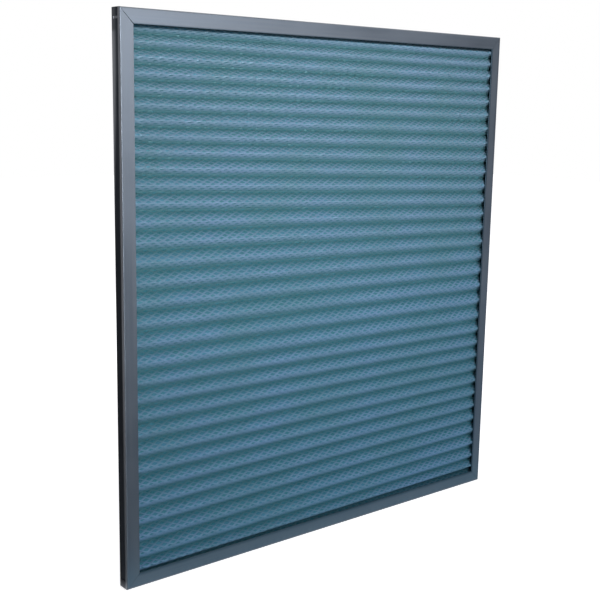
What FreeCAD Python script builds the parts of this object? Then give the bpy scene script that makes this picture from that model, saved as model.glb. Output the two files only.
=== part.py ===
import FreeCAD, Part

import math
import os

os.makedirs("parts", exist_ok=True)

# Coarse air filter: a flat panel with a mitred channel frame round a pleated pack.
# The panel stands on its lower edge: X across, Y from front to rear, Z up.
# The origin is the middle of the lower edge.

# Overall size of the panel
panel_width = 592.0
panel_height = 635.0
panel_depth = 17.0

# Frame channel, rolled from aluminium strip
channel_wall = 1.0
flange_width = 16.5
channel_bend_radius = 1.6
flange_lip_chamfer = 0.3
mitre_gap = 0.15
# The upper left mitre has opened at its inner end
open_mitre_gap = 0.9

# Crimps that lock each channel end to its corner key
crimp_from_corner = 10.5
crimp_length = 9.0
crimp_width = 2.0
crimp_depth = 0.6

# Corner keys, bent from steel strip, inside the channel ends
key_leg = 38.0
key_thickness = 2.0
key_inner_bend = 0.4
key_lead_in = 0.8
key_groove_clearance = 0.3

# Bead of sealant between the cut edge of the pack and the channel
seal_thickness = 1.7
seal_shoulder = 0.6

# Clearances: inside the channel bends, and round soft or folded pieces
bend_clearance = 0.1
soft_clearance = 0.3

# Layers of the pleated pack, each measured from front to rear
mesh_layer = 0.7
media_layer = 3.2
layer_clearance = 0.4

# Folds. Valleys are numbered down the panel, and valley 1 is the first in full view
pleat_pitch = 19.44
first_valley_drop = 41.1
fold_land = 1.4

# Pleats pinched together at both ends: above valley 1, and below the last valley in view
pinched_pitch = 14.5
last_valley_from_rail = 10.0

# The upper folds are crowded towards the top, most of all half way down the crowd
crowding = 15.8
crowded_pleats = 18

# The folds slant a little across the panel, most of all at the two sagging folds
upper_sag_drop = 19.5
upper_sag_valley = 9.8
upper_sag_reach = 4.7
lower_sag_drop = 10.5
lower_sag_valley = 18.9
lower_sag_reach = 6.6
squareness_drop = 2.7
square_valley = 9.9

# Diamond openings in the upper flanks of the mesh, a few long ones for the many small
openings_across = 4
opening_strand = 1.1
opening_knuckle = 6.0
closed_beside_rail = 9.0

# Sizes that follow
channel_inside = panel_depth - 2 * channel_wall
edge_filling = max(key_thickness, soft_clearance + seal_thickness)
pack_inset = channel_wall + edge_filling + soft_clearance
pack_width = panel_width - 2 * pack_inset
pack_top = panel_height - pack_inset
pack_bottom = pack_inset
pack_depth = channel_inside - 2 * soft_clearance
pack_layers = 2 * mesh_layer + media_layer + 2 * layer_clearance
pleat_rise = pack_depth - pack_layers
lowest_valley_drop = panel_height - flange_width - last_valley_from_rail
last_valley = 1 + int((lowest_valley_drop - first_valley_drop) / pleat_pitch)
channel_inner_bend = channel_bend_radius - channel_wall
strip_width = channel_inside - 2 * (channel_inner_bend + bend_clearance)
key_groove_depth = crimp_depth + key_groove_clearance
key_groove_width = crimp_width + 2 * key_groove_clearance


# Frame: four mitred channels

def vec(x, y, z):
    return FreeCAD.Vector(x, y, z)


def box(low, high):
    size = high - low
    return Part.makeBox(size.x, size.y, size.z, low)


def prism(points, along):
    """Solid swept from a closed outline of points by the vector along."""
    return Part.Face(Part.makePolygon(points + [points[0]])).extrude(along)


def long_edges(shape, lowest, highest):
    """Edges that run along X at a height between the two given."""
    edges = []
    for edge in shape.Edges:
        start = edge.Vertexes[0].Point
        end = edge.Vertexes[-1].Point
        runs_along = abs(start.y - end.y) < 1e-6 and abs(start.z - end.z) < 1e-6
        if runs_along and lowest <= start.z <= highest:
            edges.append(edge)
    return edges


def channel_bar(length):
    """Straight channel with rounded bends and eased lips, web at Z = 0."""
    half = panel_depth / 2
    outer = box(vec(-length / 2, -half, 0), vec(length / 2, half, flange_width))
    outer = outer.makeFillet(channel_bend_radius, long_edges(outer, 0, channel_wall / 2))
    inner = box(
        vec(-length / 2, -channel_inside / 2, channel_wall),
        vec(length / 2, channel_inside / 2, flange_width),
    )
    inner = inner.makeFillet(channel_inner_bend, long_edges(inner, 0, 1.5 * channel_wall))
    bar = outer.cut(inner)
    lips = long_edges(bar, flange_width - channel_wall / 2, flange_width)
    return bar.makeChamfer(flange_lip_chamfer, lips)


def mitre_blank(length, start_gap, end_gap):
    """Wedge ended block that gives a channel its two 45 degree ends."""
    reach = flange_width
    start = -length / 2 + mitre_gap
    end = length / 2 - mitre_gap
    outline = [
        vec(start, -panel_depth, 0),
        vec(end, -panel_depth, 0),
        vec(end - reach - end_gap, -panel_depth, reach),
        vec(start + reach + start_gap, -panel_depth, reach),
    ]
    return prism(outline, vec(0, 2 * panel_depth, 0))


def crimp_block(x, top):
    """Block across the web at x, as deep as a crimp, with its upper face at top."""
    low = vec(x - crimp_width / 2, -crimp_length / 2, top - crimp_depth)
    return box(low, low + vec(crimp_width, crimp_length, crimp_depth))


def frame_channel(length, start_gap=0.0, end_gap=0.0):
    """One side of the frame, mitred and crimped, lying with its web at Z = 0."""
    bar = channel_bar(length).common(mitre_blank(length, start_gap, end_gap))
    for way in (-1, 1):
        x = way * (length / 2 - crimp_from_corner)
        bar = bar.cut(crimp_block(x, crimp_depth))
        bar = bar.fuse(crimp_block(x, channel_wall + crimp_depth))
    return bar


def turned(shape, degrees, to):
    """Copy of a shape turned about Y and carried to a place."""
    copy = shape.copy()
    copy.Placement = FreeCAD.Placement(to, FreeCAD.Rotation(vec(0, 1, 0), degrees))
    return copy


def frame_sides():
    middle = panel_height / 2
    side = panel_width / 2
    return {
        "frame_rail_bottom": turned(frame_channel(panel_width), 0, vec(0, 0, 0)),
        "frame_stile_right": turned(frame_channel(panel_height), -90, vec(side, 0, middle)),
        "frame_rail_top": turned(
            frame_channel(panel_width, end_gap=open_mitre_gap / 2), 180, vec(0, 0, panel_height)
        ),
        "frame_stile_left": turned(
            frame_channel(panel_height, start_gap=open_mitre_gap / 2), 90, vec(-side, 0, middle)
        ),
    }


# Corner keys

def cross_edges_at(shape, distance):
    """Edges along Y at the same distance from both faces of the outer corner."""
    edges = []
    for edge in shape.Edges:
        point = edge.CenterOfMass
        if abs(point.x - distance) < 1e-6 and abs(point.z - distance) < 1e-6:
            edges.append(edge)
    return edges


def corner_key():
    """Angle strip with its outer corner at the origin and its legs along X and Z."""
    half = strip_width / 2
    outline = [
        vec(0, -half, 0),
        vec(key_leg - key_lead_in, -half, 0),
        vec(key_leg, -half, key_lead_in),
        vec(key_leg, -half, key_thickness),
        vec(key_thickness, -half, key_thickness),
        vec(key_thickness, -half, key_leg),
        vec(key_lead_in, -half, key_leg),
        vec(0, -half, key_leg - key_lead_in),
    ]
    key = prism(outline, vec(0, strip_width, 0))
    key = key.makeFillet(key_inner_bend + key_thickness, cross_edges_at(key, 0))
    key = key.makeFillet(key_inner_bend, cross_edges_at(key, key_thickness))
    near_side = crimp_from_corner - channel_wall - key_groove_width / 2
    far_side = near_side + key_groove_width
    groove = box(vec(near_side, -half, 0), vec(far_side, half, key_groove_depth))
    other_groove = box(vec(0, -half, near_side), vec(key_groove_depth, half, far_side))
    return key.cut(groove).cut(other_groove)


def corner_keys():
    side = panel_width / 2 - channel_wall
    top = panel_height - channel_wall
    key = corner_key()
    return {
        "corner_key_bottom_left": turned(key, 0, vec(-side, 0, channel_wall)),
        "corner_key_bottom_right": turned(key, -90, vec(side, 0, channel_wall)),
        "corner_key_top_right": turned(key, 180, vec(side, 0, top)),
        "corner_key_top_left": turned(key, 90, vec(-side, 0, top)),
    }


# Sealant beads

def seal_bead(length):
    """Bead that lies along X on the web and stops short of the corner keys."""
    clear_of_key = channel_wall + key_leg + soft_clearance
    half = length / 2 - clear_of_key
    low = channel_wall + soft_clearance
    high = low + seal_thickness
    bead = box(vec(-half, -strip_width / 2, low), vec(half, strip_width / 2, high))
    return bead.makeChamfer(seal_shoulder, long_edges(bead, high - seal_thickness / 2, high))


def seal_beads():
    middle = panel_height / 2
    side = panel_width / 2
    return {
        "edge_seal_bottom": turned(seal_bead(panel_width), 0, vec(0, 0, 0)),
        "edge_seal_right": turned(seal_bead(panel_height), -90, vec(side, 0, middle)),
        "edge_seal_top": turned(seal_bead(panel_width), 180, vec(0, 0, panel_height)),
        "edge_seal_left": turned(seal_bead(panel_height), 90, vec(-side, 0, middle)),
    }


# Pleated pack

def sag(number, drop, valley, reach):
    """Slant of a fold, end to end, from a sag that is deepest at one valley."""
    return drop * math.exp(-(((number - valley) / reach) ** 2))


def valley_height(number, across):
    """Height of a fold; across runs from -1 at the left end of the pack to 1 at the right.
    A number half way between two valleys gives the ridge between them."""
    even = min(max(number, 1), last_valley)
    drop = first_valley_drop + pleat_pitch * (even - 1) + pinched_pitch * (number - even)
    if even < 1 + crowded_pleats:
        drop -= crowding * math.sin(math.pi * (even - 1) / crowded_pleats)
    slant = squareness_drop * (square_valley - number) / square_valley
    slant += sag(number, upper_sag_drop, upper_sag_valley, upper_sag_reach)
    slant += sag(number, lower_sag_drop, lower_sag_valley, lower_sag_reach)
    return panel_height - drop - slant * across / 2


def fold_numbers():
    """Numbers of all the folds, from one above the cut top edge to one below the bottom."""
    highest = 0.0
    while min(valley_height(highest, end) for end in (-1, 1)) < pack_top + fold_land:
        highest -= 0.5
    lowest = 0.0
    while max(valley_height(lowest, end) for end in (-1, 1)) > pack_bottom - fold_land:
        lowest += 0.5
    return [highest + 0.5 * step for step in range(int(2 * (lowest - highest)) + 1)]


def fold_line(across):
    """Points of the folded front surface at one end of the pack, as (height, depth),
    from the top down. Each fold has a narrow flat land where it was creased."""
    points = []
    for number in fold_numbers():
        height = valley_height(number, across)
        depth = pleat_rise if number == int(number) else 0.0
        points.append((height + fold_land / 2, depth))
        points.append((height - fold_land / 2, depth))
    return points


def pleated_sheet(from_front, layer):
    """One folded layer of the pack, ruled between its two ends and cut off square
    at the top and bottom."""
    front = from_front - pack_depth / 2
    ends = []
    for across in (-1, 1):
        x = across * pack_width / 2
        line = fold_line(across)
        face_side = [vec(x, front + depth, height) for height, depth in line]
        back_side = [vec(x, front + layer + depth, height) for height, depth in reversed(line)]
        ends.append(Part.makePolygon(face_side + back_side + [face_side[0]]))
    folded = Part.makeLoft(ends, True, True)
    trim = box(vec(-panel_width, -panel_depth, pack_bottom), vec(panel_width, panel_depth, pack_top))
    return folded.common(trim)


def opened_valleys():
    """Numbers of the valleys with openings in the flank below them: those in full view."""
    highest_opening = panel_height - flange_width - closed_beside_rail
    lowest_opening = flange_width + closed_beside_rail
    opened = []
    for number in fold_numbers():
        heights = [valley_height(number, end) for end in (-1, 1)]
        crests = [valley_height(number + 0.5, end) for end in (-1, 1)]
        in_view = max(heights) < highest_opening and min(crests) > lowest_opening
        if number == int(number) and in_view:
            opened.append(number)
    return opened


def mesh_openings():
    """Long diamonds, a row of them on the upper flank of each pleat in view."""
    length = (panel_width - 2 * flange_width) / openings_across
    diamonds = []
    for valley in opened_valleys():
        for column in range(openings_across):
            x = (column - (openings_across - 1) / 2) * length
            across = x / (pack_width / 2)
            top = valley_height(valley, across) - fold_land / 2
            bottom = valley_height(valley + 0.5, across) + fold_land / 2
            middle = (top + bottom) / 2
            half_height = (top - bottom) / 2 - opening_strand
            half_length = (length - opening_knuckle) / 2
            outline = [
                vec(x - half_length, -panel_depth, middle),
                vec(x, -panel_depth, middle + half_height),
                vec(x + half_length, -panel_depth, middle),
                vec(x, -panel_depth, middle - half_height),
            ]
            diamonds.append(prism(outline, vec(0, 2 * panel_depth, 0)))
    return Part.makeCompound(diamonds)


def pack_sheets():
    media_start = mesh_layer + layer_clearance
    rear_mesh_start = media_start + media_layer + layer_clearance
    openings = mesh_openings()
    return {
        "front_mesh": pleated_sheet(0.0, mesh_layer).cut(openings),
        "filter_media": pleated_sheet(media_start, media_layer),
        "rear_mesh": pleated_sheet(rear_mesh_start, mesh_layer).cut(openings),
    }


def main():
    nodes = {}
    nodes.update(frame_sides())
    nodes.update(corner_keys())
    nodes.update(seal_beads())
    nodes.update(pack_sheets())
    for name, shape in nodes.items():
        shape.exportStep("parts/" + name + ".step")
        print(name, len(shape.Solids), shape.isValid(), round(shape.Volume, 1))


main()
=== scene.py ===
import math
import random

import bmesh
import bpy
from mathutils import Matrix, Vector, noise


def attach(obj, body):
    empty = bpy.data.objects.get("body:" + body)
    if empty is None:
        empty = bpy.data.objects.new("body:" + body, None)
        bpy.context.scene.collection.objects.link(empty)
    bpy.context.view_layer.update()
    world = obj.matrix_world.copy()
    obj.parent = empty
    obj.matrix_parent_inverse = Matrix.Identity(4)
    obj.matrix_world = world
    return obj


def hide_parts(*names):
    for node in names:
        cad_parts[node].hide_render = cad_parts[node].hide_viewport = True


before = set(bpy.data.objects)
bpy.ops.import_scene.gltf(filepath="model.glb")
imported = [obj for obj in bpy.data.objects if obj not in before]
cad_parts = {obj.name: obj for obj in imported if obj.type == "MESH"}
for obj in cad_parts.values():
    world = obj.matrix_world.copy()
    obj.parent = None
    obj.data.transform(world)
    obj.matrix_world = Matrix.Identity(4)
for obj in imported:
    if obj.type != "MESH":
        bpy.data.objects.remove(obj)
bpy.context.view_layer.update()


# Filter media: one web of blue synthetic fibre, bonded by heat into a lofty felt.
# It is laid between two webs of expanded metal and pleated with them on one machine,
# so all three share the same folds. The folds sag in the upper middle and slant a little.
panel_height = 0.635
pack_half_width = 0.2925
pack_top = 0.6315
pack_bottom = 0.0035
pleat_pitch = 0.01944
first_valley_drop = 0.0411
last_valley = 30
pinched_pitch = 0.0145
crowding = 0.0158
crowded_pleats = 18
sags = ((0.0195, 9.8, 4.7), (0.0105, 18.9, 6.6))
squareness_drop = 0.0027
square_valley = 9.9
fold_rise = 0.009
first_fold = -2.0
last_fold = 32.5
folds_beyond = 2
cut_halvings = 30


def fold_height(number, across):
    """Height of a fold at a place from -1, the left end of the pack, to 1, its right end.
    Whole numbers are valleys, and half numbers the ridges between them."""
    even = min(max(number, 1), last_valley)
    drop = first_valley_drop + pleat_pitch * (even - 1) + pinched_pitch * (number - even)
    if even < 1 + crowded_pleats:
        drop -= crowding * math.sin(math.pi * (even - 1) / crowded_pleats)
    slant = squareness_drop * (square_valley - number) / square_valley
    for sag, valley, reach in sags:
        slant += sag * math.exp(-(((number - valley) / reach) ** 2))
    return panel_height - drop - slant * across / 2


def fold_depth(number, crispness):
    """Distance back from the ridges, with a crease that is rounder where crispness is low."""
    swing = math.asin(crispness * math.cos(2 * math.pi * number)) / math.asin(crispness)
    return fold_rise * (0.5 + 0.5 * swing)


def cut_edge(height, across):
    """Fold number at which the web reaches a height, where the pack was cut off square."""
    low = first_fold - folds_beyond
    high = last_fold + folds_beyond
    for _ in range(cut_halvings):
        middle = (low + high) / 2
        if fold_height(middle, across) > height:
            low = middle
        else:
            high = middle
    return low


def new_piece(name, vertices, faces, material, smooth):
    """Mesh object with its faces turned outwards."""
    mesh = bpy.data.meshes.new(name)
    mesh.from_pydata(vertices, [], faces)
    work = bmesh.new()
    work.from_mesh(mesh)
    bmesh.ops.recalc_face_normals(work, faces=work.faces)
    work.to_mesh(mesh)
    work.free()
    mesh.polygons.foreach_set("use_smooth", [smooth] * len(mesh.polygons))
    mesh.materials.append(material)
    piece = bpy.data.objects.new(name, mesh)
    bpy.context.scene.collection.objects.link(piece)
    return piece


def new_material(name):
    """Material with its Principled shader and its node tree."""
    material = bpy.data.materials.new(name)
    material.use_nodes = True
    tree = material.node_tree
    return material, tree.nodes["Principled BSDF"], tree


def new_group(name, inputs, outputs):
    """Empty shader group; inputs and outputs map each name to a socket type."""
    group = bpy.data.node_groups.new(name, "ShaderNodeTree")
    for label, (kind, value) in inputs.items():
        socket = group.interface.new_socket(label, in_out="INPUT", socket_type=kind)
        socket.default_value = value
    for label, kind in outputs.items():
        group.interface.new_socket(label, in_out="OUTPUT", socket_type=kind)
    start = group.nodes.new("NodeGroupInput")
    end = group.nodes.new("NodeGroupOutput")
    return group, start, end


def placed(tree, group, values):
    """Group node in a material, with its own values."""
    node = tree.nodes.new("ShaderNodeGroup")
    node.node_tree = group
    for label, value in values.items():
        node.inputs[label].default_value = value
    return node


def noise_at(tree, coordinates, scale, detail, roughness=0.55):
    """Noise texture read at the coordinates; scale is in cycles per metre."""
    texture = tree.nodes.new("ShaderNodeTexNoise")
    texture.inputs["Scale"].default_value = scale
    texture.inputs["Detail"].default_value = detail
    texture.inputs["Roughness"].default_value = roughness
    tree.links.new(coordinates, texture.inputs["Vector"])
    return texture.outputs["Fac"]


def ramp(tree, value, start, end):
    """0 up to the start and 1 from the end on, eased between; the end may be the lower."""
    node = tree.nodes.new("ShaderNodeMapRange")
    node.interpolation_type = "SMOOTHSTEP"
    node.inputs["From Min"].default_value = start
    node.inputs["From Max"].default_value = end
    tree.links.new(value, node.inputs["Value"])
    return node.outputs["Result"]


def worked(tree, operation, first, second=0.0):
    """Math node on one or two values, each a socket or a number."""
    node = tree.nodes.new("ShaderNodeMath")
    node.operation = operation
    for socket, value in zip(node.inputs, (first, second)):
        if isinstance(value, (int, float)):
            socket.default_value = value
        else:
            tree.links.new(value, socket)
    return node.outputs[0]


def plus(tree, first, second):
    return worked(tree, "ADD", first, second)


def minus(tree, first, second):
    return worked(tree, "SUBTRACT", first, second)


def times(tree, first, second):
    return worked(tree, "MULTIPLY", first, second)


def blended(tree, amount, first, second):
    """Mix of two colours, each a socket or a colour, by a value or a number."""
    node = tree.nodes.new("ShaderNodeMix")
    node.data_type = "RGBA"
    for label, value in (("Factor_Float", amount), ("A_Color", first), ("B_Color", second)):
        socket = next(s for s in node.inputs if s.identifier == label)
        if isinstance(value, (int, float)):
            socket.default_value = value
        elif isinstance(value, tuple):
            socket.default_value = (*value, 1.0)
        else:
            tree.links.new(value, socket)
    return next(s for s in node.outputs if s.identifier == "Result_Color")


def laid_over(tree, colour, over, mask, share):
    """Colour with another laid over it by a mask, which counts for the share given."""
    return blended(tree, times(tree, mask, share), colour, over)


def tinted(tree, colour, tint):
    """Colour multiplied by another."""
    node = tree.nodes.new("ShaderNodeVectorMath")
    node.operation = "MULTIPLY"
    tree.links.new(colour, node.inputs[0])
    tree.links.new(tint, node.inputs[1])
    return node.outputs["Vector"]


def stretched(tree, coordinates, scale):
    """Coordinates multiplied by a scale for each axis, which draws a texture out."""
    node = tree.nodes.new("ShaderNodeVectorMath")
    node.operation = "MULTIPLY"
    tree.links.new(coordinates, node.inputs[0])
    if isinstance(scale, tuple):
        node.inputs[1].default_value = scale
    else:
        tree.links.new(scale, node.inputs[1])
    return node.outputs["Vector"]


def object_place(tree):
    """The piece's own coordinates, in metres."""
    return tree.nodes.new("ShaderNodeTexCoord").outputs["Object"]


def object_axes(tree):
    """The piece's own coordinates, and the same apart as X, Y and Z."""
    place = object_place(tree)
    split = tree.nodes.new("ShaderNodeSeparateXYZ")
    tree.links.new(place, split.inputs[0])
    return place, split.outputs


def add_bump(tree, shader, height, strength, distance):
    """Raise the surface of a shader by a height, as far as the distance in metres."""
    bump = tree.nodes.new("ShaderNodeBump")
    bump.inputs["Strength"].default_value = strength
    bump.inputs["Distance"].default_value = distance
    tree.links.new(height, bump.inputs["Height"])
    tree.links.new(bump.outputs["Normal"], shader.inputs["Normal"])


# Loose and bonded fibres: fine strands in three lays and the thick and thin patches of a web
fibres, fibres_in, fibres_out = new_group(
    "bonded_fibres",
    {"Fibres Per Metre": ("NodeSocketFloat", 900.0)},
    {"Fibre": "NodeSocketFloat", "Patch": "NodeSocketFloat", "Height": "NodeSocketFloat"},
)
place = object_place(fibres)
lays = []
for lay in ((1.0, 0.16, 0.5), (0.2, 1.0, 0.75), (0.55, 0.4, 0.12)):
    texture = fibres.nodes.new("ShaderNodeTexNoise")
    texture.inputs["Detail"].default_value = 4.0
    texture.inputs["Distortion"].default_value = 0.6
    fibres.links.new(stretched(fibres, place, lay), texture.inputs["Vector"])
    fibres.links.new(fibres_in.outputs["Fibres Per Metre"], texture.inputs["Scale"])
    lays.append(texture.outputs["Fac"])
fibre = worked(fibres, "MAXIMUM", worked(fibres, "MAXIMUM", lays[0], lays[1]), lays[2])
patch = noise_at(fibres, stretched(fibres, place, (1.0, 0.4, 1.6)), 34.0, 5.0)
fibres.links.new(ramp(fibres, fibre, 0.45, 0.75), fibres_out.inputs["Fibre"])
fibres.links.new(ramp(fibres, patch, 0.3, 0.7), fibres_out.inputs["Patch"])
fibres.links.new(fibre, fibres_out.inputs["Height"])

# Painted shade deep in the folds, a painted shadow just inside the lips of the two rails, and a
# tint by height that stands in for the whiter light on the upper folds: it greys the blue of
# the upper folds and takes red from the lower ones
# Colour of the painted shadow under the rail lips
lip_shadow_colour = (0.003, 0.028, 0.046)
fold_paint, fold_paint_in, fold_paint_out = new_group(
    "painted_fold_shade_and_light",
    {
        "Ridge Depth": ("NodeSocketFloat", -0.0045),
        "Valley Depth": ("NodeSocketFloat", 0.0015),
        "Lip Height": ("NodeSocketFloat", 0.3012),
    },
    {"Valley Shade": "NodeSocketFloat", "Lip Shadow": "NodeSocketFloat", "Height Light Tint": "NodeSocketColor"},
)
place, axis = object_axes(fold_paint)
ridge = fold_paint_in.outputs["Ridge Depth"]
reach = minus(fold_paint, fold_paint_in.outputs["Valley Depth"], ridge)
depth = worked(fold_paint, "DIVIDE", minus(fold_paint, axis["Y"], ridge), reach)
# Painted shade: darker the deeper the surface lies in a fold
fold_paint.links.new(ramp(fold_paint, depth, 0.0, 1.0), fold_paint_out.inputs["Valley Shade"])
from_middle = worked(fold_paint, "ABSOLUTE", minus(fold_paint, axis["Z"], panel_height / 2))
past_lip = minus(fold_paint, from_middle, fold_paint_in.outputs["Lip Height"])
past_lip = plus(fold_paint, past_lip, times(fold_paint, noise_at(fold_paint, place, 60.0, 4.0), 0.0015))
more_at_head = plus(fold_paint, times(fold_paint, ramp(fold_paint, axis["Z"], 0.1, 0.5), 0.5), 0.5)
# Painted shadow just inside the rail lips, stronger towards the head
at_lip = times(fold_paint, ramp(fold_paint, past_lip, -0.0034, -0.0016), more_at_head)
fold_paint.links.new(at_lip, fold_paint_out.inputs["Lip Shadow"])
# Painted light tint by height: whiter light on the upper folds, more saturated shade on the
# lower ones
height_share = ramp(fold_paint, axis["Z"], 0.0, panel_height)
light_tint = blended(fold_paint, height_share, (0.85, 1.0, 0.98), (1.0, 0.975, 0.855))
fold_paint.links.new(light_tint, fold_paint_out.inputs["Height Light Tint"])

media_fibre, shader, tree = new_material("media_fibre")
felt = placed(tree, fibres, {"Fibres Per Metre": 1300.0})
painted_light_shade = placed(tree, fold_paint, {})
colour = blended(tree, felt.outputs["Patch"], (0.061, 0.212, 0.272), (0.084, 0.234, 0.374))
# Painted shade deep in the valleys, then a painted light tint by height and a painted shadow
# under the rail lips
colour = laid_over(tree, colour, (0.029, 0.155, 0.198), painted_light_shade.outputs["Valley Shade"], 0.8)
colour = laid_over(tree, colour, (0.115, 0.30, 0.45), felt.outputs["Fibre"], 0.55)
colour = tinted(tree, colour, painted_light_shade.outputs["Height Light Tint"])
colour = blended(tree, painted_light_shade.outputs["Lip Shadow"], colour, lip_shadow_colour)
tree.links.new(colour, shader.inputs["Base Color"])
shader.inputs["Roughness"].default_value = 0.95
shader.inputs["Specular IOR Level"].default_value = 0.05
shader.inputs["Sheen Weight"].default_value = 0.08
shader.inputs["Sheen Roughness"].default_value = 0.6
add_bump(tree, shader, felt.outputs["Height"], 0.5, 0.0004)

media_front = -0.0061
media_layer = 0.0032
media_columns = 96
rows_per_flank = 7
media_crispness = 0.965
loft_waviness = 0.00022
lofts_per_metre = 160.0
rows_near_cut = 40
weld_distance = 1e-6

vertices = []
rows = int((last_fold - first_fold) * 2 * rows_per_flank)
for side in (0, 1):
    for row in range(rows + 1):
        for column in range(media_columns + 1):
            across = -1 + 2 * column / media_columns
            number = first_fold + row / (2 * rows_per_flank)
            if row < rows_near_cut:
                number = max(number, cut_edge(pack_top, across))
            elif row > rows - rows_near_cut:
                number = min(number, cut_edge(pack_bottom, across))
            x = across * pack_half_width
            z = fold_height(number, across)
            y = media_front + side * media_layer + fold_depth(number, media_crispness)
            loft = noise.noise(Vector((x, y + side, z)) * lofts_per_metre)
            vertices.append((x, y + loft_waviness * loft, z))
faces = []
width = media_columns + 1
sheet_size = width * (rows + 1)
for row in range(rows):
    for column in range(media_columns):
        corner = row * width + column
        front = (corner, corner + 1, corner + width + 1, corner + width)
        faces.append(front)
        faces.append(tuple(sheet_size + v for v in reversed(front)))
for row in range(rows):
    for column in (0, media_columns):
        corner = row * width + column
        faces.append((corner, corner + width, sheet_size + corner + width, sheet_size + corner))
for column in range(media_columns):
    for row in (0, rows):
        corner = row * width + column
        faces.append((corner, corner + 1, sheet_size + corner + 1, sheet_size + corner))

media = new_piece("pleated_media", vertices, faces, media_fibre, True)
work = bmesh.new()
work.from_mesh(media.data)
bmesh.ops.remove_doubles(work, verts=work.verts, dist=weld_distance)
bmesh.ops.dissolve_degenerate(work, edges=work.edges, dist=weld_distance)
bmesh.ops.recalc_face_normals(work, faces=work.faces)
work.to_mesh(media.data)
work.free()
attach(media, "root")
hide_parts("filter_media")

# The web was cut flat, as wide as the pack and as long as its folds drawn out. The loop below
# only works out the fall of each step down the folds at the middle, and keeps no length.
length_steps = 5000
top_fold = cut_edge(pack_top, 0.0)
fold_step = (cut_edge(pack_bottom, 0.0) - top_fold) / length_steps
for step in range(length_steps):
    number = top_fold + step * fold_step
    fall = fold_height(number, 0.0) - fold_height(number + fold_step, 0.0)


# Front mesh: expanded aluminium, slit and drawn out of one sheet so that every strand
# is part of it, with diamonds 12 mm long. It is folded with the media and holds the
# pleats open on the air entering side.
diamond_columns = 98
strand_rows_per_fold = 8
strand_half_width = 0.0011
strand_half_thickness = 0.00024
strand_tilt = math.radians(20)
knuckle_overlap = 0.016
knuckle_wander = 0.04
cut_clearance = 0.0008
raised_by = 0.00018
mesh_crispness = 0.985
front_mesh_middle = -0.00685
front_mesh_seed = 11


def strand_section(number, across, middle, lift):
    """Four corners of a strand where it crosses a fold line, on a sheet at a depth."""
    step = 0.01
    x = across * pack_half_width
    y = middle + fold_depth(number, mesh_crispness)
    z = fold_height(number, across)
    run = fold_height(number + step, across) - fold_height(number - step, across)
    rise = fold_depth(number + step, mesh_crispness) - fold_depth(number - step, mesh_crispness)
    length = math.hypot(run, rise)
    down_y = rise / length
    down_z = run / length
    corners = []
    for wide, thick in ((-1, -1), (1, -1), (1, 1), (-1, 1)):
        a = wide * strand_half_width
        b = thick * strand_half_thickness
        down = a * math.cos(strand_tilt) - b * math.sin(strand_tilt)
        out = a * math.sin(strand_tilt) + b * math.cos(strand_tilt) + lift
        corners.append((x, y + down * down_y + out * down_z, z + down * down_z - out * down_y))
    return corners


def add_strand(vertices, faces, crossings, middle):
    """Closed bar of four sides through the places where a strand crosses its fold lines."""
    start = len(vertices)
    for number, across, lift in crossings:
        vertices.extend(strand_section(number, across, middle, lift))
    last = len(vertices) - 4
    for here in range(start, last, 4):
        for corner in range(4):
            after = (corner + 1) % 4
            faces.append((here + corner, here + after, here + 4 + after, here + 4 + corner))
    faces.append(tuple(range(start, start + 4)))
    faces.append(tuple(range(last, last + 4)))


def strand_zigzags(middle, first_row, last_row, seed):
    """Vertices and faces of the zigzag strands between two rows of knuckles. A strand is
    cut where it leaves the pack, and a stub with one crossing is left out."""
    chance = random.Random(seed)
    vertices = []
    faces = []
    for row in range(first_row, last_row):
        crossings = []
        for column in range(diamond_columns + 1):
            at_upper = (row + column) % 2 == 0
            number = row + knuckle_overlap * strand_rows_per_fold
            if not at_upper:
                number = row + 1 - knuckle_overlap * strand_rows_per_fold
            number += chance.uniform(-knuckle_wander, knuckle_wander)
            number /= strand_rows_per_fold
            across = -1 + 2 * column / diamond_columns
            height = fold_height(number, across)
            inside = pack_bottom + cut_clearance < height < pack_top - cut_clearance
            if inside:
                crossings.append((number, across, raised_by if at_upper else -raised_by))
            if not inside or column == diamond_columns:
                if len(crossings) > 1:
                    add_strand(vertices, faces, crossings, middle)
                crossings = []
    return vertices, faces


# Grain of rolled and drawn metal: streaks along one axis and a slow change of tone
grain, grain_in, grain_out = new_group(
    "rolled_grain",
    {"Streak Scale": ("NodeSocketVector", (30.0, 1500.0, 1500.0))},
    {"Streak": "NodeSocketFloat", "Tone": "NodeSocketFloat"},
)
place = object_place(grain)
streak = noise_at(grain, stretched(grain, place, grain_in.outputs["Streak Scale"]), 1.0, 3.0)
tone = noise_at(grain, place, 9.0, 4.0)
grain.links.new(ramp(grain, streak, 0.3, 0.7), grain_out.inputs["Streak"])
grain.links.new(ramp(grain, tone, 0.3, 0.7), grain_out.inputs["Tone"])

# Dust that settles on what faces up
dust, dust_in, dust_out = new_group(
    "settled_dust", {"Amount": ("NodeSocketFloat", 0.3)}, {"Mask": "NodeSocketFloat"}
)
normal = dust.nodes.new("ShaderNodeNewGeometry").outputs["Normal"]
split = dust.nodes.new("ShaderNodeSeparateXYZ")
dust.links.new(normal, split.inputs[0])
upward = ramp(dust, split.outputs["Z"], 0.1, 1.0)
drift = ramp(dust, noise_at(dust, object_place(dust), 120.0, 5.0, 0.65), 0.4, 0.75)
mask = times(dust, times(dust, upward, drift), dust_in.outputs["Amount"])
dust.links.new(mask, dust_out.inputs["Mask"])


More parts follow.
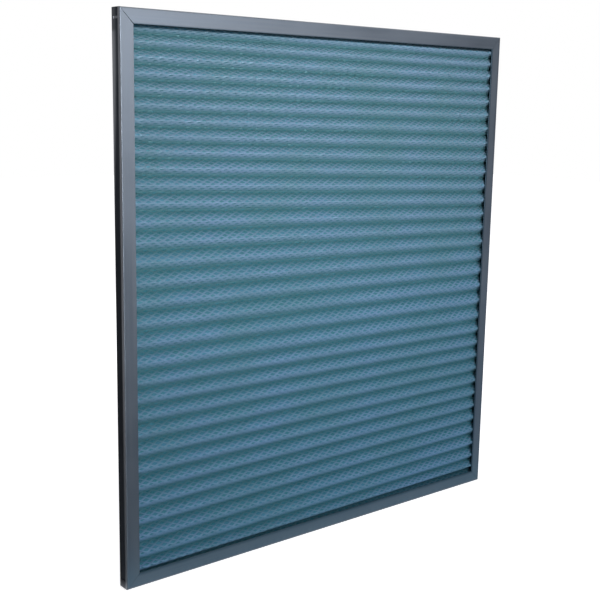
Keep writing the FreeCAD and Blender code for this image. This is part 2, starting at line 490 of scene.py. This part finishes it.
def expanded_metal(name, ridge_depth, valley_depth):
    """Blue lacquered strands, with painted shade where they lie deep in the folds, a painted
    shadow under the rail lips and a painted light tint by height.
    """
    material, shader, tree = new_material(name)
    drawn = placed(tree, grain, {"Streak Scale": (260.0, 900.0, 900.0)})
    lint = placed(tree, dust, {"Amount": 0.2})
    painted_light_shade = placed(tree, fold_paint, {"Ridge Depth": ridge_depth, "Valley Depth": valley_depth})
    streak = drawn.outputs["Streak"]
    colour = blended(tree, drawn.outputs["Tone"], (0.139, 0.268, 0.385), (0.180, 0.297, 0.506))
    colour = laid_over(tree, colour, (0.25, 0.40, 0.59), streak, 0.35)
    colour = blended(tree, lint.outputs["Mask"], colour, (0.36, 0.44, 0.55))
    # Painted shade deep in the folds, a painted light tint by height and a painted shadow under
    # the rail lips
    colour = laid_over(tree, colour, (0.052, 0.172, 0.218), painted_light_shade.outputs["Valley Shade"], 0.85)
    colour = tinted(tree, colour, painted_light_shade.outputs["Height Light Tint"])
    colour = blended(tree, painted_light_shade.outputs["Lip Shadow"], colour, lip_shadow_colour)
    tree.links.new(colour, shader.inputs["Base Color"])
    shader.inputs["Metallic"].default_value = 0.2
    shader.inputs["Specular IOR Level"].default_value = 0.45
    rough = plus(tree, times(tree, streak, 0.12), 0.52)
    tree.links.new(rough, shader.inputs["Roughness"])
    add_bump(tree, shader, streak, 0.3, 0.0001)
    return material


front_mesh_metal = expanded_metal("mesh_metal", ridge_depth=-0.0045, valley_depth=0.0015)

middle_row = 124
top_row = int(first_fold * strand_rows_per_fold)
bottom_row = int(last_fold * strand_rows_per_fold)
for name, first_row, last_row in (
    ("front_mesh_upper", top_row, middle_row),
    ("front_mesh_lower", middle_row, bottom_row),
):
    seed = front_mesh_seed + first_row
    vertices, faces = strand_zigzags(front_mesh_middle, first_row, last_row, seed)
    piece = new_piece(name, vertices, faces, front_mesh_metal, False)
    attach(piece, "root")
    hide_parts("front_mesh")


# Rear mesh: the mate of the front one, of the same expanded aluminium, on the air
# leaving side. The media is gripped between the two.
rear_mesh_middle = -0.00215
rear_mesh_seed = 907
rear_mesh_metal = expanded_metal("rear_mesh_metal", ridge_depth=0.0045, valley_depth=-0.0015)

for name, first_row, last_row in (
    ("rear_mesh_upper", top_row, middle_row),
    ("rear_mesh_lower", middle_row, bottom_row),
):
    seed = rear_mesh_seed + first_row
    vertices, faces = strand_zigzags(rear_mesh_middle, first_row, last_row, seed)
    piece = new_piece(name, vertices, faces, rear_mesh_metal, False)
    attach(piece, "root")
    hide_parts("rear_mesh")


# Edge seals: four beads of compound that are run into the channels and set round the
# cut edges of the pack, so that no air goes round it.
seal_compound, shader, tree = new_material("seal_compound")
place = object_place(tree)
lumps = noise_at(tree, place, 220.0, 4.0)
specks = noise_at(tree, place, 1400.0, 2.0)
colour = blended(tree, ramp(tree, lumps, 0.3, 0.7), (0.47, 0.47, 0.42), (0.58, 0.58, 0.53))
colour = blended(tree, ramp(tree, specks, 0.62, 0.75), colour, (0.30, 0.30, 0.28))
tree.links.new(colour, shader.inputs["Base Color"])
tree.links.new(plus(tree, times(tree, lumps, 0.2), 0.6), shader.inputs["Roughness"])
add_bump(tree, shader, lumps, 0.6, 0.0006)


def cover(name, material):
    """Put one material on a piece that keeps the shape it has in the frame."""
    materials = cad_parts[name].data.materials
    materials.clear()
    materials.append(material)


for name in ("edge_seal_top", "edge_seal_bottom", "edge_seal_left", "edge_seal_right"):
    cover(name, seal_compound)


# Corner keys: angles bent from zinc plated steel strip, pushed into the channel ends
# before the channels are crimped to them.
key_steel, shader, tree = new_material("key_steel")
plating = placed(tree, grain, {"Streak Scale": (500.0, 500.0, 500.0)})
spangle = tree.nodes.new("ShaderNodeTexVoronoi")
spangle.inputs["Scale"].default_value = 380.0
tree.links.new(object_place(tree), spangle.inputs["Vector"])
colour = blended(tree, spangle.outputs["Distance"], (0.36, 0.37, 0.39), (0.52, 0.53, 0.54))
colour = laid_over(tree, colour, (0.30, 0.31, 0.32), plating.outputs["Streak"], 0.4)
tree.links.new(colour, shader.inputs["Base Color"])
shader.inputs["Metallic"].default_value = 0.85
rough = plus(tree, times(tree, plating.outputs["Tone"], 0.2), 0.3)
tree.links.new(rough, shader.inputs["Roughness"])
add_bump(tree, shader, plating.outputs["Streak"], 0.25, 0.0001)

for corner in ("top_left", "top_right", "bottom_left", "bottom_right"):
    cover("corner_key_" + corner, key_steel)


# Frame channels: aluminium strip rolled to a U, mitred, slid over the edges of the pack
# and crimped to the corner keys. Mill finish, dulled by handling, with rubbed bends.
def near_limit(tree, value, limit, band):
    """1 where a value is at its limit, 0 where it is a band or more short of it."""
    short = worked(tree, "DIVIDE", minus(tree, limit, value), band)
    return ramp(tree, short, 1.0, 0.0)


# Bends that handling has rubbed bright in places, where the side, head or foot of the
# panel meets its front or rear face
wear, wear_in, wear_out = new_group(
    "rubbed_bends",
    {
        "Half Width": ("NodeSocketFloat", 0.296),
        "Height": ("NodeSocketFloat", panel_height),
        "Half Depth": ("NodeSocketFloat", 0.0085),
        "Band": ("NodeSocketFloat", 0.0016),
    },
    {"Mask": "NodeSocketFloat"},
)
place, axis = object_axes(wear)
band = wear_in.outputs["Band"]
height = wear_in.outputs["Height"]
from_middle = worked(wear, "ABSOLUTE", axis["X"])
at_side = near_limit(wear, from_middle, wear_in.outputs["Half Width"], band)
at_head = near_limit(wear, axis["Z"], height, band)
at_foot = near_limit(wear, minus(wear, height, axis["Z"]), height, band)
outer = worked(wear, "MAXIMUM", at_side, worked(wear, "MAXIMUM", at_head, at_foot))
from_middle = worked(wear, "ABSOLUTE", axis["Y"])
at_face = near_limit(wear, from_middle, wear_in.outputs["Half Depth"], band)
broken = ramp(wear, noise_at(wear, place, 70.0, 6.0, 0.7), 0.35, 0.65)
wear.links.new(times(wear, times(wear, outer, at_face), broken), wear_out.inputs["Mask"])

# Painted light and shade on the webs of the stiles: a painted reflection band along the rear
# bend, most of all high up, a painted highlight on the crimps, and a lighter painted highlight
# strip beside the front bend. The strip between them is painted shade, though less dark high
# up.
crimp_height = 0.6245
web_paint, web_paint_in, web_paint_out = new_group(
    "painted_web_light_and_shade",
    {"Stile Web": ("NodeSocketFloat", 0.0)},
    {"Painted Light": "NodeSocketFloat", "Painted Shade": "NodeSocketFloat"},
)
place, axis = object_axes(web_paint)
on_web = ramp(web_paint, worked(web_paint, "ABSOLUTE", axis["X"]), 0.2950, 0.2956)
on_web = times(web_paint, on_web, web_paint_in.outputs["Stile Web"])
drawn_out = noise_at(web_paint, stretched(web_paint, place, (300.0, 900.0, 25.0)), 1.0, 4.0)
high_up = ramp(web_paint, axis["Z"], 0.33, 0.60)
edge = minus(web_paint, 0.0060, times(web_paint, high_up, 0.0105))
edge = plus(web_paint, edge, times(web_paint, drawn_out, 0.0020))
past_edge = ramp(web_paint, minus(web_paint, axis["Y"], edge), 0.0, 0.0080)
below_key = ramp(web_paint, axis["Z"], 0.614, 0.609)
less_at_key = plus(web_paint, times(web_paint, below_key, 0.55), 0.45)
rear_band = times(web_paint, past_edge, less_at_key)
from_crimp = worked(web_paint, "ABSOLUTE", minus(web_paint, axis["Z"], crimp_height))
at_crimp = ramp(web_paint, from_crimp, 0.0016, 0.0008)
between_bends = ramp(web_paint, worked(web_paint, "ABSOLUTE", axis["Y"]), 0.0060, 0.0045)
crimp_line = times(web_paint, at_crimp, between_bends)
before_bend = ramp(web_paint, axis["Y"], -0.0080, -0.0070)
front_strip = times(web_paint, ramp(web_paint, axis["Y"], -0.0032, -0.0062), before_bend)
less_at_foot = plus(web_paint, times(web_paint, ramp(web_paint, axis["Z"], 0.05, 0.30), 0.35), 0.5)
front_strip = times(web_paint, front_strip, less_at_foot)
# Painted light: the reflection band, the crimp highlight and the strip by the front bend
rubbed = worked(web_paint, "MAXIMUM", worked(web_paint, "MAXIMUM", rear_band, crimp_line), front_strip)
web_paint.links.new(times(web_paint, rubbed, on_web), web_paint_out.inputs["Painted Light"])
# Painted shade on the rest of the web, less dark high up
less_shade_high = minus(web_paint, 1.0, times(web_paint, high_up, 0.4))
web_shade = times(web_paint, minus(web_paint, 1.0, rubbed), less_shade_high)
web_paint.links.new(times(web_paint, web_shade, on_web), web_paint_out.inputs["Painted Shade"])

# Painted shade on the faces beside the pack: a band on the foot rail, a narrower one on the
# right stile and a thin line under the top rail
lip_shading, lip_shading_in, lip_shading_out = new_group(
    "painted_lip_shade",
    {"Rails": ("NodeSocketFloat", 1.0)},
    {"Edge Shade": "NodeSocketFloat"},
)
place, axis = object_axes(lip_shading)
uneven = times(lip_shading, noise_at(lip_shading, place, 45.0, 4.0), 0.0016)
on_foot = ramp(lip_shading, plus(lip_shading, axis["Z"], uneven), 0.0125, 0.0185)
on_foot = times(lip_shading, on_foot, ramp(lip_shading, axis["Z"], 0.10, 0.05))
on_head = ramp(lip_shading, axis["Z"], 0.6205, 0.6180)
on_head = times(lip_shading, on_head, ramp(lip_shading, axis["Z"], 0.3, 0.4))
on_rails = times(lip_shading, plus(lip_shading, on_foot, on_head), lip_shading_in.outputs["Rails"])
on_right = ramp(lip_shading, minus(lip_shading, axis["X"], uneven), 0.2822, 0.2788)
on_right = times(lip_shading, on_right, ramp(lip_shading, axis["X"], 0.1, 0.2))
on_stile = times(lip_shading, on_right, minus(lip_shading, 1.0, lip_shading_in.outputs["Rails"]))
lip_shading.links.new(plus(lip_shading, on_rails, on_stile), lip_shading_out.inputs["Edge Shade"])


def channel_metal(name, streak_scale, is_stile):
    """Dulled aluminium with its rolling grain along one axis, with painted shade on the faces
    beside the pack. is_stile is 1 for a stile, whose web gets a painted reflection band, a
    painted highlight on the crimps and painted shade, and 0 for a rail."""
    material, shader, tree = new_material(name)
    rolled = placed(tree, grain, {"Streak Scale": streak_scale})
    worn = placed(tree, wear, {})
    settled = placed(tree, dust, {"Amount": 0.35})
    lip_shade = placed(tree, lip_shading, {"Rails": 1.0 - is_stile})
    web_light_shade = placed(tree, web_paint, {"Stile Web": is_stile})
    streak = rolled.outputs["Streak"]
    tone = rolled.outputs["Tone"]
    colour = blended(tree, tone, (0.132, 0.156, 0.192), (0.156, 0.182, 0.222))
    colour = laid_over(tree, colour, (0.18, 0.203, 0.236), streak, 0.5)
    colour = laid_over(tree, colour, (0.30, 0.33, 0.36), worn.outputs["Mask"], 0.4)
    colour = blended(tree, settled.outputs["Mask"], colour, (0.26, 0.27, 0.27))
    # Painted shade beside the pack, then painted shade and painted reflection bands on the
    # stile webs
    colour = laid_over(tree, colour, (0.018, 0.052, 0.078), lip_shade.outputs["Edge Shade"], 0.8)
    colour = laid_over(tree, colour, (0.082, 0.088, 0.106), web_light_shade.outputs["Painted Shade"], 0.8)
    colour = laid_over(tree, colour, (0.60, 0.62, 0.67), web_light_shade.outputs["Painted Light"], 0.85)
    tree.links.new(colour, shader.inputs["Base Color"])
    metallic = plus(tree, times(tree, worn.outputs["Mask"], 0.1), 0.85)
    metallic = minus(tree, metallic, times(tree, web_light_shade.outputs["Painted Light"], 0.45))
    tree.links.new(metallic, shader.inputs["Metallic"])
    rough = plus(tree, times(tree, tone, 0.06), 0.45)
    rough = plus(tree, times(tree, streak, 0.08), rough)
    tree.links.new(rough, shader.inputs["Roughness"])
    add_bump(tree, shader, streak, 0.12, 0.00005)
    return material


rail_metal = channel_metal("frame_aluminium_rails", (6.0, 420.0, 420.0), is_stile=0.0)
stile_metal = channel_metal("frame_aluminium_stiles", (420.0, 420.0, 6.0), is_stile=1.0)
cover("frame_rail_top", rail_metal)
cover("frame_rail_bottom", rail_metal)
cover("frame_stile_left", stile_metal)
cover("frame_stile_right", stile_metal)


# Studio: a white floor, a little darker near the panel, and a white surround, both brighter
# to the eye and in reflections than the light they give. Four soft lamps: a key lamp in
# front, one above it, one with a narrow beam on the upper part and one behind.
def shown_rays(tree):
    """1 for rays from the camera or off gloss, and 0 for those that light other things."""
    ray = tree.nodes.new("ShaderNodeLightPath")
    glossy = ray.outputs["Is Glossy Ray"]
    mirrored = worked(tree, "MAXIMUM", glossy, ray.outputs["Is Transmission Ray"])
    return worked(tree, "MAXIMUM", ray.outputs["Is Camera Ray"], mirrored)


floor_white, shader, tree = new_material("studio_floor")
shader.inputs["Base Color"].default_value = (0.82, 0.82, 0.82, 1.0)
shader.inputs["Roughness"].default_value = 0.9
shader.inputs["Specular IOR Level"].default_value = 0.0
shader.inputs["Emission Color"].default_value = (1.0, 1.0, 1.0, 1.0)
away = tree.nodes.new("ShaderNodeVectorMath")
away.operation = "LENGTH"
tree.links.new(object_place(tree), away.inputs[0])
glow = plus(tree, times(tree, ramp(tree, away.outputs["Value"], 0.2, 1.6), 0.2), 0.8)
tree.links.new(times(tree, shown_rays(tree), glow), shader.inputs["Emission Strength"])

floor_reach = 6.0
floor_level = -0.0002
corners = [(-1, -1), (1, -1), (1, 1), (-1, 1)]
floor = new_piece(
    "studio_floor_sheet",
    [(x * floor_reach, y * floor_reach, floor_level) for x, y in corners],
    [(0, 1, 2, 3)],
    floor_white,
    False,
)

world = bpy.data.worlds.new("studio_surround")
bpy.context.scene.world = world
world.use_nodes = True
tree = world.node_tree
background = tree.nodes["Background"]
background.inputs["Color"].default_value = (1.0, 1.0, 1.0, 1.0)
surround_level = 0.20
level = plus(tree, times(tree, shown_rays(tree), 1 - surround_level), surround_level)
tree.links.new(level, background.inputs["Strength"])


def soft_lamp(name, place, aim, size, power, beam):
    """Square area lamp that faces a point, with a beam as wide as the angle given."""
    data = bpy.data.lights.new(name, "AREA")
    data.shape = "SQUARE"
    data.size = size
    data.energy = power
    data.spread = math.radians(beam)
    lamp = bpy.data.objects.new(name, data)
    lamp.location = place
    lamp.rotation_euler = (Vector(aim) - Vector(place)).to_track_quat("-Z", "Y").to_euler()
    bpy.context.scene.collection.objects.link(lamp)


soft_lamp("key_lamp", (0.27, -1.13, 0.80), (-0.2, 0.0, 0.5), 0.34, 4.6, 180)
soft_lamp("top_lamp", (-0.25, -0.95, 1.35), (0.0, 0.0, 0.4), 0.7, 1.0, 180)
soft_lamp("front_lamp", (-0.55, -1.35, 0.66), (0.0, 0.0, 0.67), 0.6, 2.4, 60)
soft_lamp("rear_lamp", (0.8, 1.3, 0.9), (0.0, 0.0, 0.35), 0.8, 8.0, 180)

# Cards that show only in reflections, for the metal to mirror, each with its colour, its
# glow and its corners. Four glow: the strip before the foot, the ground and the low wall
# to the right, and the left wall for the front bend. The others are dark, two of them black.
cards = {
    "near_ground_card": (
        (0.240, 0.420, 0.500),
        1.0,
        [(-0.5, -0.01, 0.001), (0.7, -0.01, 0.001), (0.7, -0.06, 0.001), (-0.5, -0.06, 0.001)],
    ),
    "ground_card": (
        (0.108, 0.205, 0.285),
        0.0,
        [(-0.5, -0.06, 0.001), (0.25, -0.06, 0.001), (0.25, -1.5, 0.001), (-0.5, -1.5, 0.001)],
    ),
    "right_ground_card": (
        (0.190, 0.280, 0.360),
        0.9,
        [(0.25, -0.06, 0.001), (1.6, -0.06, 0.001), (1.6, -1.5, 0.001), (0.25, -1.5, 0.001)],
    ),
    "front_card": (
        (0.020, 0.024, 0.030),
        0.0,
        [(-0.3, -1.5, 0.0), (1.9, -1.5, 0.0), (1.9, -1.5, 0.42), (-0.3, -1.5, 0.42)],
    ),
    "right_card": (
        (0.220, 0.290, 0.360),
        0.8,
        [(0.9, -1.25, 0.0), (1.7, 0.1, 0.0), (1.7, 0.1, 0.36), (0.9, -1.25, 0.36)],
    ),
    "right_upper_card": (
        (0.130, 0.175, 0.225),
        0.0,
        [(0.72, -1.42, 0.36), (1.7, 0.1, 0.36), (1.7, 0.1, 1.3), (0.72, -1.42, 1.3)],
    ),
    "left_card": (
        (0.17, 0.185, 0.21),
        1.0,
        [(-1.25, -1.2, 0.0), (-0.86, 0.14, 0.0), (-0.86, 0.14, 1.1), (-1.25, -1.2, 1.1)],
    ),
    "side_card": (
        (0.004, 0.004, 0.004),
        0.0,
        [(-0.84, 0.15, 0.0), (-0.14, 0.55, 0.0), (-0.14, 0.55, 1.1), (-0.84, 0.15, 1.1)],
    ),
    "side_ground_card": (
        (0.004, 0.004, 0.004),
        0.0,
        [(-0.3, 0.0, 0.001), (-0.3, 0.8, 0.001), (-1.0, 0.8, 0.001), (-1.0, 0.0, 0.001)],
    ),
}
for name, (colour, glow, corners) in cards.items():
    card_colour, shader = new_material(name)[:2]
    shader.inputs["Base Color"].default_value = (*colour, 1.0)
    shader.inputs["Roughness"].default_value = 1.0
    shader.inputs["Specular IOR Level"].default_value = 0.0
    shader.inputs["Emission Color"].default_value = (*colour, 1.0)
    shader.inputs["Emission Strength"].default_value = glow
    card = new_piece(name, corners, [(0, 1, 2, 3)], card_colour, False)
    card.visible_camera = False
    card.visible_shadow = False
    card.visible_diffuse = False


# Camera: the photograph's viewing place, worked out from the four corners of the panel
# and trued up on its edges and folds
camera_place = (-0.84879, -0.97191, 0.53921)
camera_data = bpy.data.cameras.new("camera")
camera_data.sensor_width = 36.0
camera_data.lens = 62.75
camera = bpy.data.objects.new("camera", camera_data)
right = Vector((0.77244, -0.63486, 0.01733))
up = Vector((0.10301, 0.15216, 0.98297))
back = Vector((-0.62668, -0.75750, 0.18293))
turn = Matrix((right, up, back)).transposed().to_4x4()
camera.matrix_world = Matrix.Translation(camera_place) @ turn
bpy.context.scene.collection.objects.link(camera)
bpy.context.scene.camera = camera
bpy.context.scene.view_settings.view_transform = "Standard"
